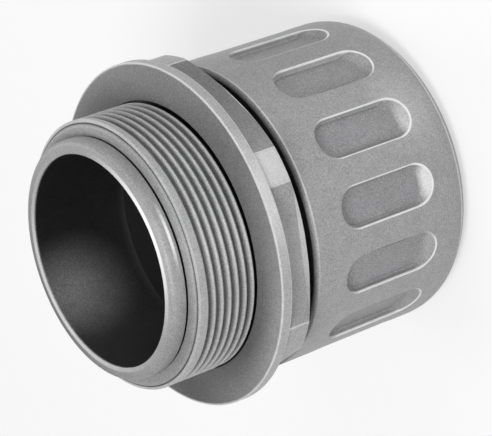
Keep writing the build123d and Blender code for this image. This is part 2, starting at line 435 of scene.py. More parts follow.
def body_skin(size, nut):
    """The body: nose, connecting thread, flange, hexagon, threaded skirt, socket and bore."""
    skin = Skin(hexagon_angles(size))
    lead, start = size.thread_lead, size.flange_top + size.thread_lead * size.thread_start / TURN
    chamfer_low = size.thread_top - size.thread_chamfer

    def thread_radius(turn, level):
        depth = size.thread_depth * interpolate(V_THREAD, crest_distance(turn, level, lead, start))
        groove = start + lead * (math.floor((level - start) / lead - turn / TURN) + turn / TURN + 0.5)
        depth *= smoothstep(0, size.thread_fade, size.thread_first - groove)
        radius = size.thread_radius - depth
        if level > chamfer_low:
            share = (level - chamfer_low) / size.thread_chamfer
            radius = min(radius, size.thread_radius - size.thread_chamfer_depth * share)
        return radius

    def chamfer_height(radius):
        """Height of the chamfer on the first turn at a radius."""
        share = (size.thread_radius - radius) / size.thread_chamfer_depth
        return chamfer_low + size.thread_chamfer * share

    ring_groove, ring_half = size.ring_groove_radius, size.ring_groove_width / 2
    ring_middle = size.thread_radius - size.thread_chamfer_depth
    nose = skin.turned(
        [
            (size.bore_radius, size.mouth_height - 1e-3, 0),
            (size.bore_radius, size.mouth_height, size.bore_edge),
            (size.lip_radius, size.mouth_height, size.lip_edge),
            (size.lip_radius, size.thread_top + size.relief_width, 0.06e-3),
            (size.lip_radius - size.relief_depth, size.thread_top + size.relief_width, 0),
            (size.lip_radius - size.relief_depth, size.thread_top - 0.12e-3, 0),
            (ring_middle, size.thread_top, 0.5e-3),
            (ring_groove - ring_half, chamfer_height(ring_groove - ring_half), 0.12e-3),
            (ring_groove - 0.4 * ring_half, chamfer_height(ring_groove) - size.ring_groove_depth, 0),
            (ring_groove + 0.4 * ring_half, chamfer_height(ring_groove) - size.ring_groove_depth, 0),
            (ring_groove + ring_half, chamfer_height(ring_groove + ring_half), 0.05e-3),
            (ring_groove + 1.5 * ring_half, chamfer_height(ring_groove + 1.5 * ring_half), 0),
        ]
    )
    chamfer_rows = []
    for step in range(1, CHAMFER_STEPS + 1):
        level = size.thread_top - size.thread_chamfer * step / CHAMFER_STEPS
        if level < chamfer_height(ring_groove + 1.5 * ring_half) - 1e-5:
            chamfer_rows.append(skin.row(lambda turn, at=level: thread_radius(turn, at), level))
    groove_floor = size.flange_top - size.groove_depth
    thread_top, thread_bottom = skin.thread(
        size.thread_bottom, chamfer_low, lead, start, row_places(V_THREAD), thread_radius
    )
    groove_outside = size.thread_radius + size.groove_width
    flange = skin.turned(
        [
            (size.thread_relief_radius, size.thread_bottom, 0),
            (size.thread_relief_radius, groove_floor, 0),
            (groove_outside, groove_floor, 0),
            (groove_outside, size.flange_top, 0.04e-3),
            (size.flange_radius, size.flange_top, size.flange_edge),
            (size.flange_radius, size.flange_bottom, size.flange_edge),
            (size.hex_corner_radius + 0.02e-3, size.flange_bottom, 0),
        ]
    )

    def side(turn):
        return hexagon_radius(size, turn)

    slope = math.tan(HEX_CHAMFER)
    edge = size.hex_edge

    def chamfer(radius):
        return size.hex_bottom + max(0, radius - size.hex_flat_radius + 0.3 * edge) * slope

    def edge_row(inward, up):
        """A row of the softened rear edge, in shares of its width."""
        return skin.row(
            lambda turn: side(turn) - inward * edge, lambda turn: chamfer(side(turn)) + up * edge
        )

    hexagon = [
        skin.row(side, size.flange_bottom),
        *(edge_row(inward, up) for inward, up in HEX_ROUNDING),
        skin.row(lambda turn: side(turn) - edge, lambda turn: chamfer(side(turn) - edge)),
        skin.row(size.hex_flat_radius - 1.4 * edge, size.hex_bottom),
        skin.row(size.neck_radius, size.hex_bottom),
    ]
    skirt_lead, skirt_start = nut.thread_lead, size.skirt_thread_bottom
    thread_high = size.hex_bottom - size.neck_height
    thread_low = size.skirt_thread_bottom
    run_out = size.skirt_thread_radius - size.skirt_pilot_radius

    def skirt_radius(turn, level):
        depth = run_out * interpolate(FLAT_THREAD, crest_distance(turn, level, skirt_lead, skirt_start))
        low_limit = size.skirt_pilot_radius + (level - thread_low)
        high_limit = size.neck_radius + (thread_high - level)
        return min(size.skirt_thread_radius - depth, low_limit, high_limit)

    skirt_top, skirt_bottom = skin.thread(
        thread_low, thread_high, skirt_lead, skirt_start, row_places(FLAT_THREAD), skirt_radius
    )
    cone_length = (size.cone_radius - size.socket_radius) / math.tan(COLLET_CONE)
    inside = skin.turned(
        [
            (size.skirt_pilot_radius, size.skirt_bottom + 3e-3, 0),
            (size.skirt_pilot_radius, size.skirt_bottom + size.skirt_chamfer, 0),
            (size.skirt_pilot_radius - size.skirt_chamfer, size.skirt_bottom, 0.03e-3),
            (size.cone_radius, size.skirt_bottom, 0.03e-3),
            (size.socket_radius, size.skirt_bottom + cone_length, 0.5e-3),
            (size.socket_radius, size.socket_floor, 0.1e-3),
            (size.bore_radius + 0.3e-3, size.socket_floor, 0),
            (size.bore_radius, size.socket_floor + 1e-3, 0),
            (size.bore_radius, size.socket_floor + 2e-3, 0),
        ]
    )
    skin.follow([*nose, *chamfer_rows, thread_top])
    skin.follow([thread_bottom, *flange, *hexagon, skirt_top])
    skin.follow([skirt_bottom, *inside, nose[0]])
    return skin


class GripSector:
    """One grip and the nut's outside round it, from groove to groove, as rings of points."""

    CAP_STEPS = 16
    SIDE_STEPS = 14
    # Where rings lie on the way over the floor, round an edge and out to the border, as shares
    FLOOR_SHARES = (0.4, 0.75)
    ARC_SHARES = (0, 0.2, 0.4, 0.6, 0.8, 1)
    OUTSIDE_SHARES = (0.25, 0.6)
    # The most that the rounding of the floor takes of a wall, as a share
    WALL_SHARE = 1 / 2.2

    def __init__(self, nut, low, high):
        self.nut = nut
        self.low = low
        self.high = high
        self.half_turn = math.pi / nut.grip_count

    def outline(self, half_width, low, high):
        """Points of an oval, from its top over the right side to its bottom and back up the left side."""
        right = []
        top_centre, bottom_centre = high - half_width, low + half_width
        for step in range(self.CAP_STEPS + 1):
            turn = math.pi / 2 * step / self.CAP_STEPS
            right.append((half_width * math.sin(turn), top_centre + half_width * math.cos(turn)))
        for step in range(1, self.SIDE_STEPS):
            right.append((half_width, top_centre + (bottom_centre - top_centre) * step / self.SIDE_STEPS))
        for step in range(self.CAP_STEPS + 1):
            turn = math.pi / 2 * step / self.CAP_STEPS
            right.append((half_width * math.cos(turn), bottom_centre - half_width * math.sin(turn)))
        return right + [(-across, up) for across, up in reversed(right[1:-1])]

    def frame_line(self, top_centre, bottom_centre):
        """The sector's border as (turn, height), with one point for each point of an oval."""
        half = self.CAP_STEPS // 2
        right = []
        for step in range(half):
            right.append((self.half_turn * step / half, self.high))
        for step in range(half + 1):
            right.append((self.half_turn, self.high + (top_centre - self.high) * step / half))
        for step in range(1, self.SIDE_STEPS):
            share = step / self.SIDE_STEPS
            right.append((self.half_turn, top_centre + (bottom_centre - top_centre) * share))
        for step in range(half + 1):
            right.append((self.half_turn, bottom_centre + (self.low - bottom_centre) * step / half))
        for step in range(1, half + 1):
            right.append((self.half_turn * (1 - step / half), self.low))
        return right + [(-turn, up) for turn, up in reversed(right[1:-1])]

    def rings(self):
        """Rings from the middle of the floor out to the border, as (out from the axis, across, height)."""
        nut = self.nut
        low, high = nut.grip_margin, nut.grip_margin + nut.grip_length
        half_width, draft = nut.grip_width / 2, nut.grip_draft
        floor_out = nut.radius - nut.grip_depth
        mouth = self.outline(half_width, low, high)
        floor = self.outline(half_width - draft, low + draft + nut.grip_scoop, high - draft)
        spine_top = high - half_width
        spine_bottom = low + nut.grip_scoop + half_width

        def on_outside(across, up):
            return (math.sqrt(nut.radius**2 - across**2), across, up)

        def between(first, second, share):
            return tuple(a + (b - a) * share for a, b in zip(first, second))

        def arc(first, corner, second, share):
            return between(between(first, corner, share), between(corner, second, share), share)

        floor_points = [(floor_out, across, up) for across, up in floor]
        mouth_points = [on_outside(across, up) for across, up in mouth]
        spine = [(floor_out, 0.0, min(max(up, spine_bottom), spine_top)) for across, up in floor]
        border = self.frame_line(high - half_width, low + half_width)
        border_points = [
            (nut.radius * math.cos(turn), nut.radius * math.sin(turn), up) for turn, up in border
        ]
        inner, wall_foot, wall_head, outer = [], [], [], []
        for place, (foot, head) in enumerate(zip(floor_points, mouth_points)):
            wall = math.dist(foot, head)
            reach = min(nut.grip_floor_edge, wall * self.WALL_SHARE)
            inward = math.dist(foot, spine[place])
            inner.append(between(foot, spine[place], reach / inward))
            wall_foot.append(between(foot, head, reach / wall))
            wall_head.append(between(head, foot, nut.grip_mouth_edge / wall))
            gap = math.dist(head, border_points[place])
            beyond = between(head, border_points[place], nut.grip_mouth_edge / gap)
            outer.append(on_outside(beyond[1], beyond[2]))
        rings = [spine]
        rings += [[between(a, b, share) for a, b in zip(spine, inner)] for share in self.FLOOR_SHARES]
        for share in self.ARC_SHARES:
            rings.append([arc(a, b, c, share) for a, b, c in zip(inner, floor_points, wall_foot)])
        rings.append([between(a, b, 0.5) for a, b in zip(wall_foot, wall_head)])
        for share in self.ARC_SHARES:
            rings.append([arc(a, b, c, share) for a, b, c in zip(wall_head, mouth_points, outer)])
        for share in self.OUTSIDE_SHARES:
            ring = []
            for (out, across, up), (turn, border_up) in zip(outer, border):
                at = math.atan2(across, out)
                at += (turn - at) * share
                level = up + (border_up - up) * share
                ring.append((nut.radius * math.cos(at), nut.radius * math.sin(at), level))
            rings.append(ring)
        rings.append(border_points)
        return rings


def nut_skin(nut):
    """The nut: grips, rounded shoulder, conduit entry, chamber and thread."""
    half = GripSector.CAP_STEPS // 2
    pitch = TURN / nut.grip_count
    first = nut.turn_at_rest - math.pi / 2
    angles = []
    for grip in range(nut.grip_count):
        for step in range(2 * half):
            angles.append((first + grip * pitch + pitch * (step / (2 * half) - 0.5)) % TURN)
    skin = Skin(sorted(angles))
    plain_below, plain_above = 2.2e-3, 2.4e-3
    grips_low = nut.grip_margin - plain_below
    grips_high = nut.grip_margin + nut.grip_length + plain_above
    rings = GripSector(nut, grips_low, grips_high).rings()
    for grip in range(nut.grip_count):
        turn = first + grip * pitch
        cosine, sine = math.cos(turn), math.sin(turn)
        rows = []
        for ring in rings:
            points = [(x * cosine - y * sine, x * sine + y * cosine, up) for x, y, up in ring]
            rows.append(skin.add_points(points))
        skin.follow(rows)
    upper = skin.turned(
        [
            (nut.radius, grips_high, 0),
            (nut.radius, nut.height - nut.front_chamfer, 0.25e-3),
            (nut.radius - nut.front_chamfer_depth, nut.height, 0.2e-3),
            (nut.thread_radius + nut.lead_in, nut.height, 0.15e-3),
            (nut.thread_radius, nut.height - nut.lead_in, 0),
        ]
    )
    start = nut.thread_bottom + 2.1e-3  # the nut's crests lie in the skirt's grooves there
    thread_high = nut.height - nut.lead_in

    def thread_radius(turn, level):
        share = interpolate(FLAT_THREAD, crest_distance(turn, level, nut.thread_lead, start))
        height = nut.thread_height * share
        height = min(height, level - nut.thread_bottom, thread_high - level)
        return nut.thread_radius - max(0, height)

    thread_top, thread_bottom = skin.thread(
        nut.thread_bottom, thread_high, nut.thread_lead, start, row_places(FLAT_THREAD), thread_radius
    )
    chamber_rise = nut.chamber_radius - nut.thread_radius
    lower = skin.turned(
        [
            (nut.thread_radius + 0.1e-3, nut.thread_bottom - 0.1e-3, 0),
            (nut.chamber_radius, nut.thread_bottom - chamber_rise, 0.3e-3),
            (nut.chamber_radius, nut.end_wall, 0.3e-3),
            (nut.entry_radius, nut.end_wall, 0.15e-3),
            (nut.entry_radius, nut.entry_chamfer, 0.1e-3),
            (nut.entry_radius + nut.entry_chamfer, 0, 0.05e-3),
            (nut.radius - nut.shoulder, 0, 0),
        ],
        steps=10,
    )
    for step in range(1, SHOULDER_STEPS + 1):
        turn = math.pi / 2 * step / SHOULDER_STEPS
        radius = nut.radius - nut.shoulder * (1 - math.sin(turn))
        lower.append(skin.row(radius, nut.shoulder_rise * (1 - math.cos(turn))))
    lower.append(skin.row(nut.radius, grips_low))
    skin.follow([*upper, thread_top])
    skin.follow([thread_bottom, *lower])
    return skin


# Shader node groups

SOCKET_KINDS = {1: "NodeSocketFloat", 3: "NodeSocketVector", 4: "NodeSocketColor"}


def open_group(name, inputs, outputs):
    """A node group whose sockets are given with their defaults. Returns it and its inputs."""
    group = bpy.data.node_groups.new(name, "ShaderNodeTree")
    for in_out, sockets in (("INPUT", inputs), ("OUTPUT", outputs)):
        for key, default in sockets.items():
            kind = SOCKET_KINDS[len(default) if isinstance(default, tuple) else 1]
            group.interface.new_socket(name=key, in_out=in_out, socket_type=kind).default_value = default
    return group, group.nodes.new("NodeGroupInput").outputs


def close_group(group, results):
    """Links a group's results to its output node."""
    ends = group.nodes.new("NodeGroupOutput")
    for name, value in results.items():
        group.links.new(value, ends.inputs[name])


def add_node(tree, kind, values=None, **settings):
    """Adds a node, sets its properties and fills or links its inputs."""
    node = tree.nodes.new(kind)
    for key, value in settings.items():
        setattr(node, key, value)
    for key, value in (values or {}).items():
        if isinstance(value, bpy.types.NodeSocket):
            tree.links.new(value, node.inputs[key])
        else:
            node.inputs[key].default_value = value
    return node


def arithmetic(tree, operation, *values):
    """A Math node's result."""
    return add_node(tree, "ShaderNodeMath", dict(enumerate(values)), operation=operation).outputs[0]


def vector_result(tree, operation, output, **values):
    """A Vector Math node's result. values are its inputs first, second and scale."""
    keys = {"first": 0, "second": 1, "scale": "Scale"}
    inputs = {keys[name]: value for name, value in values.items()}
    return add_node(tree, "ShaderNodeVectorMath", inputs, operation=operation).outputs[output]


def noise(tree, scale, detail, roughness=0.5, place=None):
    """A Noise texture's value."""
    values = {"Scale": scale, "Detail": detail, "Roughness": roughness}
    if place is not None:
        values["Vector"] = place
    return add_node(tree, "ShaderNodeTexNoise", values).outputs[0]


def object_place(tree):
    """The shaded point, seen from the piece's own origin."""
    return add_node(tree, "ShaderNodeTexCoord").outputs["Object"]


def make_grain_group(name):
    """Fine moulded grain, and the mottle and speckle of a filled plastic."""
    group, given = open_group(
        name,
        {"Grain Scale": 2600.0, "Mottle Scale": 420.0, "Speckle Scale": 4400.0},
        {"Height": 0.0, "Mottle": 0.0, "Speckle": 0.0},
    )
    cell_share = 0.35
    place = object_place(group)
    grain = noise(group, given["Grain Scale"], detail=3.0, roughness=0.6, place=place)
    cells = add_node(group, "ShaderNodeTexVoronoi", {"Vector": place, "Scale": given["Grain Scale"]})
    results = {
        "Height": arithmetic(group, "MULTIPLY_ADD", cells.outputs["Distance"], cell_share, grain),
        "Mottle": noise(group, given["Mottle Scale"], detail=4.0, roughness=0.62, place=place),
        "Speckle": noise(group, given["Speckle Scale"], detail=1.0, place=place),
    }
    close_group(group, results)
    return group


def make_band_group(name):
    """Mask of the points between two radii and two heights, seen from the piece's own axis."""
    group, given = open_group(
        name, {"Inner": 0.0, "Outer": 1.0, "Low": -1.0, "High": 1.0, "Softness": 0.0001}, {"Mask": 0.0}
    )
    parts = add_node(group, "ShaderNodeSeparateXYZ", {"Vector": object_place(group)}).outputs
    flat = add_node(group, "ShaderNodeCombineXYZ", {"X": parts["X"], "Y": parts["Y"]}).outputs[0]
    radius = vector_result(group, "LENGTH", "Value", first=flat)

    def above(value, limit):
        share = arithmetic(group, "DIVIDE", arithmetic(group, "SUBTRACT", value, limit), given["Softness"])
        return add_node(group, "ShaderNodeClamp", {"Value": arithmetic(group, "ADD", share, 0.5)}).outputs[0]

    inside = arithmetic(group, "MULTIPLY", above(radius, given["Inner"]), above(given["Outer"], radius))
    level = arithmetic(group, "MULTIPLY", above(parts["Z"], given["Low"]), above(given["High"], parts["Z"]))
    close_group(group, {"Mask": arithmetic(group, "MULTIPLY", inside, level)})
    return group


def make_patch_group(name):
    """Mask that fades from the centre of an oval cloud to its outside."""
    group, given = open_group(name, {"Centre": (0.0, 0.0, 0.0), "Size": (0.01, 0.01, 0.01)}, {"Mask": 0.0})
    away = vector_result(group, "SUBTRACT", 0, first=object_place(group), second=given["Centre"])
    share = vector_result(group, "DIVIDE", 0, first=away, second=given["Size"])
    distance = vector_result(group, "LENGTH", "Value", first=share)
    fade = {"Value": distance, "From Min": 0.0, "From Max": 1.0, "To Min": 1.0, "To Max": 0.0}
    mask = add_node(group, "ShaderNodeMapRange", fade, interpolation_type="SMOOTHSTEP").outputs[0]
    close_group(group, {"Mask": mask})
    return group


def make_oval_group(name):
    """Distance to the outline of the nearest of the ovals that stand round the axis, below zero inside it."""
    inputs = ("First", "Pitch", "Radius", "Centre", "Half Length", "Half Width")
    group, given = open_group(name, {key: 0.0 for key in inputs}, {"Distance": 0.0})
    parts = add_node(group, "ShaderNodeSeparateXYZ", {"Vector": object_place(group)}).outputs
    turn = arithmetic(group, "ARCTAN2", parts["Y"], parts["X"])
    turn = arithmetic(group, "SUBTRACT", turn, given["First"])
    half_pitch = arithmetic(group, "MULTIPLY", given["Pitch"], 0.5)
    turn = arithmetic(group, "WRAP", turn, half_pitch, arithmetic(group, "MULTIPLY", given["Pitch"], -0.5))
    across = arithmetic(group, "MULTIPLY", turn, given["Radius"])
    up = arithmetic(group, "ABSOLUTE", arithmetic(group, "SUBTRACT", parts["Z"], given["Centre"]))
    straight = arithmetic(group, "SUBTRACT", given["Half Length"], given["Half Width"])
    beyond = arithmetic(group, "MAXIMUM", arithmetic(group, "SUBTRACT", up, straight), 0.0)
    flat = add_node(group, "ShaderNodeCombineXYZ", {"X": across, "Y": beyond}).outputs[0]
    from_spine = vector_result(group, "LENGTH", "Value", first=flat)
    close_group(group, {"Distance": arithmetic(group, "SUBTRACT", from_spine, given["Half Width"])})
    return group


def make_tone_group(name):
    """Lightens and darkens a colour by a mottle and a speckle, both round 0.5.

    The speckle grows weaker as the colour gets lighter, down to a least share of it.
    """
    grey = (0.5, 0.5, 0.5, 1.0)
    speckle_on_black, speckle_fall, speckle_least = 1.45, -1.7, 0.2
    group, given = open_group(
        name,
        {"Colour": grey, "Mottle": 0.5, "Amount": 0.2, "Speckle": 0.5, "Speckle Amount": 0.5},
        {"Colour": grey},
    )
    offset = arithmetic(group, "SUBTRACT", given["Mottle"], 0.5)
    gain = arithmetic(group, "MULTIPLY_ADD", offset, given["Amount"], 1.0)
    lightness = add_node(group, "ShaderNodeRGBToBW", {"Color": given["Colour"]}).outputs[0]
    calm = arithmetic(group, "MULTIPLY_ADD", lightness, speckle_fall, speckle_on_black)
    calm = arithmetic(group, "MAXIMUM", calm, speckle_least)
    fine = arithmetic(group, "MULTIPLY", arithmetic(group, "SUBTRACT", given["Speckle"], 0.5), calm)
    gain = arithmetic(group, "MULTIPLY_ADD", fine, given["Speckle Amount"], gain)
    close_group(group, {"Colour": vector_result(group, "SCALE", 0, first=given["Colour"], scale=gain)})
    return group


SHARED_GROUPS = {
    "Moulded grain": make_grain_group,
    "Turned band": make_band_group,
    "Soft patch": make_patch_group,
    "Oval outline": make_oval_group,
    "Mottled tone": make_tone_group,
}


def place_group(tree, name, values):
    """A shared group in a material, with that material's values. It is built when it is first asked for."""
    group = bpy.data.node_groups.get(name) or SHARED_GROUPS[name](name)
    return add_node(tree, "ShaderNodeGroup", values, node_tree=group).outputs


# Materials


class Millimetres:
    """Reads the lengths of a property group in millimetres."""

    def __init__(self, sizes):
        self.sizes = sizes

    def __getattr__(self, name):
        return getattr(self.sizes, name) / MM


class Coat:
    """The colours of one material, laid over each other where their masks are full.

    Its methods take lengths in millimetres.
    """

    # Sockets of a Mix node for colours: three inputs and the output
    FACTOR, BELOW, ABOVE, RESULT = 0, 6, 7, 2

    def __init__(self, tree, finish):
        self.tree = tree
        self.finish = finish

    def band(self, **limits):
        """Mask of what lies between two radii and two heights: inner, outer, low, high, softness."""
        values = {key.capitalize(): value * MM for key, value in limits.items()}
        return place_group(self.tree, "Turned band", values)["Mask"]

    def spot(self, across, along, height, reach, tall=None):
        """Mask that fades from a centre to its reach. tall is the reach along the axis, if it differs."""
        centre = (across * MM, along * MM, height * MM)
        size = (reach * MM, reach * MM, (tall or reach) * MM)
        return place_group(self.tree, "Soft patch", {"Centre": centre, "Size": size})["Mask"]

    def both(self, first, *others):
        """Mask that is full where all of these are."""
        for other in others:
            first = arithmetic(self.tree, "MULTIPLY", first, other)
        return first

    def colour(self, given):
        """A finish's colour by its name. The result of a mix stays as it is."""
        return tuple(getattr(self.finish, given)) if isinstance(given, str) else given

    def mix(self, below, *layers):
        """Lays colours over the one below, each given with its mask: names of finishes or other mixes."""
        for mask, above in layers:
            values = {self.FACTOR: mask, self.BELOW: self.colour(below), self.ABOVE: self.colour(above)}
            below = add_node(self.tree, "ShaderNodeMix", values, data_type="RGBA").outputs[self.RESULT]
        return below


def plastic(name, finish, paint, roughness, mottle=0.35, bump=0.02, grain_scale=2600.0):
    """A moulded plastic. paint is a finish's name, or a function that gives the colour for a coat."""
    speckle, roughness_spread = 1.3, 0.07
    material = bpy.data.materials.new(name)
    material.use_nodes = True
    tree = material.node_tree
    shader = tree.nodes["Principled BSDF"].inputs
    coat = Coat(tree, finish)
    grain = place_group(tree, "Moulded grain", {"Grain Scale": grain_scale})
    tone = {
        "Colour": coat.colour(paint) if isinstance(paint, str) else paint(coat),
        "Mottle": grain["Mottle"],
        "Amount": mottle,
        "Speckle": grain["Speckle"],
        "Speckle Amount": speckle,
    }
    tree.links.new(place_group(tree, "Mottled tone", tone)["Colour"], shader["Base Color"])
    low, high = roughness - roughness_spread, roughness + roughness_spread
    spread = {"Value": grain["Mottle"], "To Min": low, "To Max": high}
    tree.links.new(add_node(tree, "ShaderNodeMapRange", spread).outputs[0], shader["Roughness"])
    relief = {"Height": grain["Height"], "Strength": 1.0, "Distance": bump * MM}
    tree.links.new(add_node(tree, "ShaderNodeBump", relief).outputs[0], shader["Normal"])
    return material


def paint_body(coat, size):
    """Grey, with painted sheen on the turned rims, painted shade on the flange face and a bore painted black
    as shade.
    """
    mm = Millimetres(size)
    band, spot, both, mix = coat.band, coat.spot, coat.both, coat.mix
    mouth, bore, lip, nose = mm.mouth_height, mm.bore_radius, mm.lip_radius, mm.thread_top
    thread, depth, chamfer_foot = mm.thread_radius, mm.thread_depth, mm.thread_top - mm.thread_chamfer
    ring, ring_half = mm.ring_groove_radius, 0.35 * mm.ring_groove_width
    face, flange_rear, rim, floor = mm.flange_top, mm.flange_bottom, mm.flange_radius, mm.socket_floor
    rim_edge, groove_outside = rim - mm.flange_edge, thread + mm.groove_width
    hex_rear, flat, corner = mm.hex_bottom, mm.hex_flat_radius, mm.hex_corner_radius

    # Painted shade and light on the flats, with painted highlights along a rear edge and along the edges of
    # the corner lands
    flat_rear = band(inner=flat - 0.1, low=hex_rear - 1, high=hex_rear + 1.2, softness=0.2)
    corner_lines = band(
        inner=corner - 0.16, outer=corner - 0.03, low=hex_rear + 0.4, high=flange_rear, softness=0.06
    )
    hexagon = mix(
        "body",
        (spot(across=19, along=-20.5, height=hex_rear + 3, reach=26), "flat_shade"),
        (spot(across=-13, along=-24, height=hex_rear + 3, reach=13), "flat_light"),
        (both(flat_rear, spot(across=-10, along=-25.5, height=hex_rear, reach=17)), "flat_edge_highlight"),
        (corner_lines, "edge"),
    )
    # Painted sheen on the flange's rim and on the corner land that face the light
    rim_tone = mix("body_rim", (spot(across=-4.2, along=-rim, height=flange_rear, reach=14), "rim_sheen"))
    land_tone = mix("body_land", (spot(across=0, along=-corner, height=hex_rear + 3, reach=14), "land_sheen"))
    # Painted shade on the flange's face, with painted light towards the rim on the lit side
    towards_rim = band(inner=rim - 3.1, softness=4)
    face_tone = mix(
        "body_face",
        (spot(across=-26, along=0, height=face, reach=30), "face_shade"),
        (spot(across=22, along=-17, height=face, reach=15), "face_top_shade"),
        (both(towards_rim, spot(across=-22.5, along=-18.5, height=face, reach=36)), "face_light"),
        (spot(across=-24, along=15, height=face, reach=14), "face_deep_shade"),
    )
    # Painted shade in the thread's roots
    deepest = thread - depth
    root = band(
        inner=deepest - 0.3,
        outer=deepest + 0.6 * depth,
        low=face - 1,
        high=mm.thread_first + 0.2,
        softness=0.35,
    )
    # Painted light and shade on the lip: sheen on the near side, shade on the outer part of the far side and
    # a highlight along its inner edge
    far_side = spot(across=-1.7, along=19.9, height=mouth, reach=34)
    mouth_line = band(inner=bore - 0.1, outer=bore + 0.75, low=mouth - 0.3, softness=0.15)
    lip_tone = mix(
        "body_lip",
        (spot(across=-6, along=-19, height=mouth, reach=17), "lip_sheen"),
        (both(band(inner=bore + 0.9, low=nose + 1, softness=0.3), far_side), "lip_shade"),
        (both(mouth_line, far_side), "lip_line_highlight"),
    )
    # Painted highlight (gleam) on the lip's side near the light
    lip_side = band(inner=lip - 0.2, low=mouth - 2.1, high=mouth - 1.55, softness=0.2)
    lip_gleam = both(lip_side, spot(across=-3.6, along=-lip, height=mouth - 1.8, reach=7))
    # Painted shade: the bore nearly black, with patches of painted light where light enters the mouth
    bore_tone = mix(
        "body_bore",
        (spot(across=-13, along=0.7 * bore, height=mouth - 8, reach=20, tall=26), "bore_faint_glow"),
        (spot(across=-0.5, along=bore, height=mouth - 4.5, reach=11.3, tall=14), "bore_glow"),
    )
    # Painted shade: the flange's groove, the relief behind the lip and the thread's relief painted nearly
    # black
    groove_floor = face - mm.groove_depth
    face_groove = band(outer=groove_outside + 0.03, low=groove_floor - 0.1, high=face - 0.03, softness=0.05)
    lip_relief = band(outer=lip - 0.12, low=nose - 0.2, high=nose + mm.relief_width - 0.02, softness=0.04)
    thread_relief = band(
        inner=bore + 1,
        outer=mm.thread_relief_radius + 0.1,
        low=face - 1,
        high=mm.thread_bottom + 0.1,
        softness=0.08,
    )
    return mix(
        hexagon,
        (band(inner=corner + 0.05, softness=0.06), rim_tone),
        (band(inner=corner - 0.02, outer=corner + 0.05, high=flange_rear + 0.05, softness=0.03), land_tone),
        (band(inner=thread + 0.05, outer=corner, low=face - 0.06), face_tone),
        # Painted light on the thread, painted shade in its roots and in the fine ring groove
        (band(outer=thread + 0.02, low=face - 2), "thread"),
        (root, "root"),
        (band(outer=ring, low=chamfer_foot, softness=0.1), mix(lip_tone, (lip_gleam, "mouth_edge"))),
        (face_groove, "gap"),
        (lip_relief, "gap"),
        (thread_relief, "gap"),
        (band(inner=ring - ring_half, outer=ring + ring_half, low=chamfer_foot - 0.1, softness=0.05), "root"),
        # Painted shade in the bore and on the step at the socket's floor
        (band(outer=bore + 0.03, softness=0.05), bore_tone),
        (band(outer=bore + 1.2, low=floor - 0.2, high=floor + 1, softness=0.05), "body_bore"),
        # Painted highlights along the rim's edges and the hexagon's rear edge
        (band(inner=rim_edge, low=face - 0.22, softness=0.08), "edge"),
        (band(inner=rim_edge, low=flange_rear - 1, high=flange_rear + 0.2, softness=0.08), "edge"),
        (band(inner=flat - 0.25, low=hex_rear - 1, high=hex_rear + 0.28, softness=0.1), "edge"),
        # Painted highlight along the near stretch of the mouth's edge
        (
            band(inner=bore - 0.1, outer=bore + 1.05, low=mouth - 0.3, softness=0.3),
            mix(lip_tone, (spot(across=-1, along=-bore, height=mouth, reach=20), "mouth_edge")),
        ),
    )


# Places, across and along, of the grips' sides whose line lies in shade, in millimetres
SHADED_LINES = ((9.3, -25.5), (-17.6, -20.7), (-24.9, -10.8))


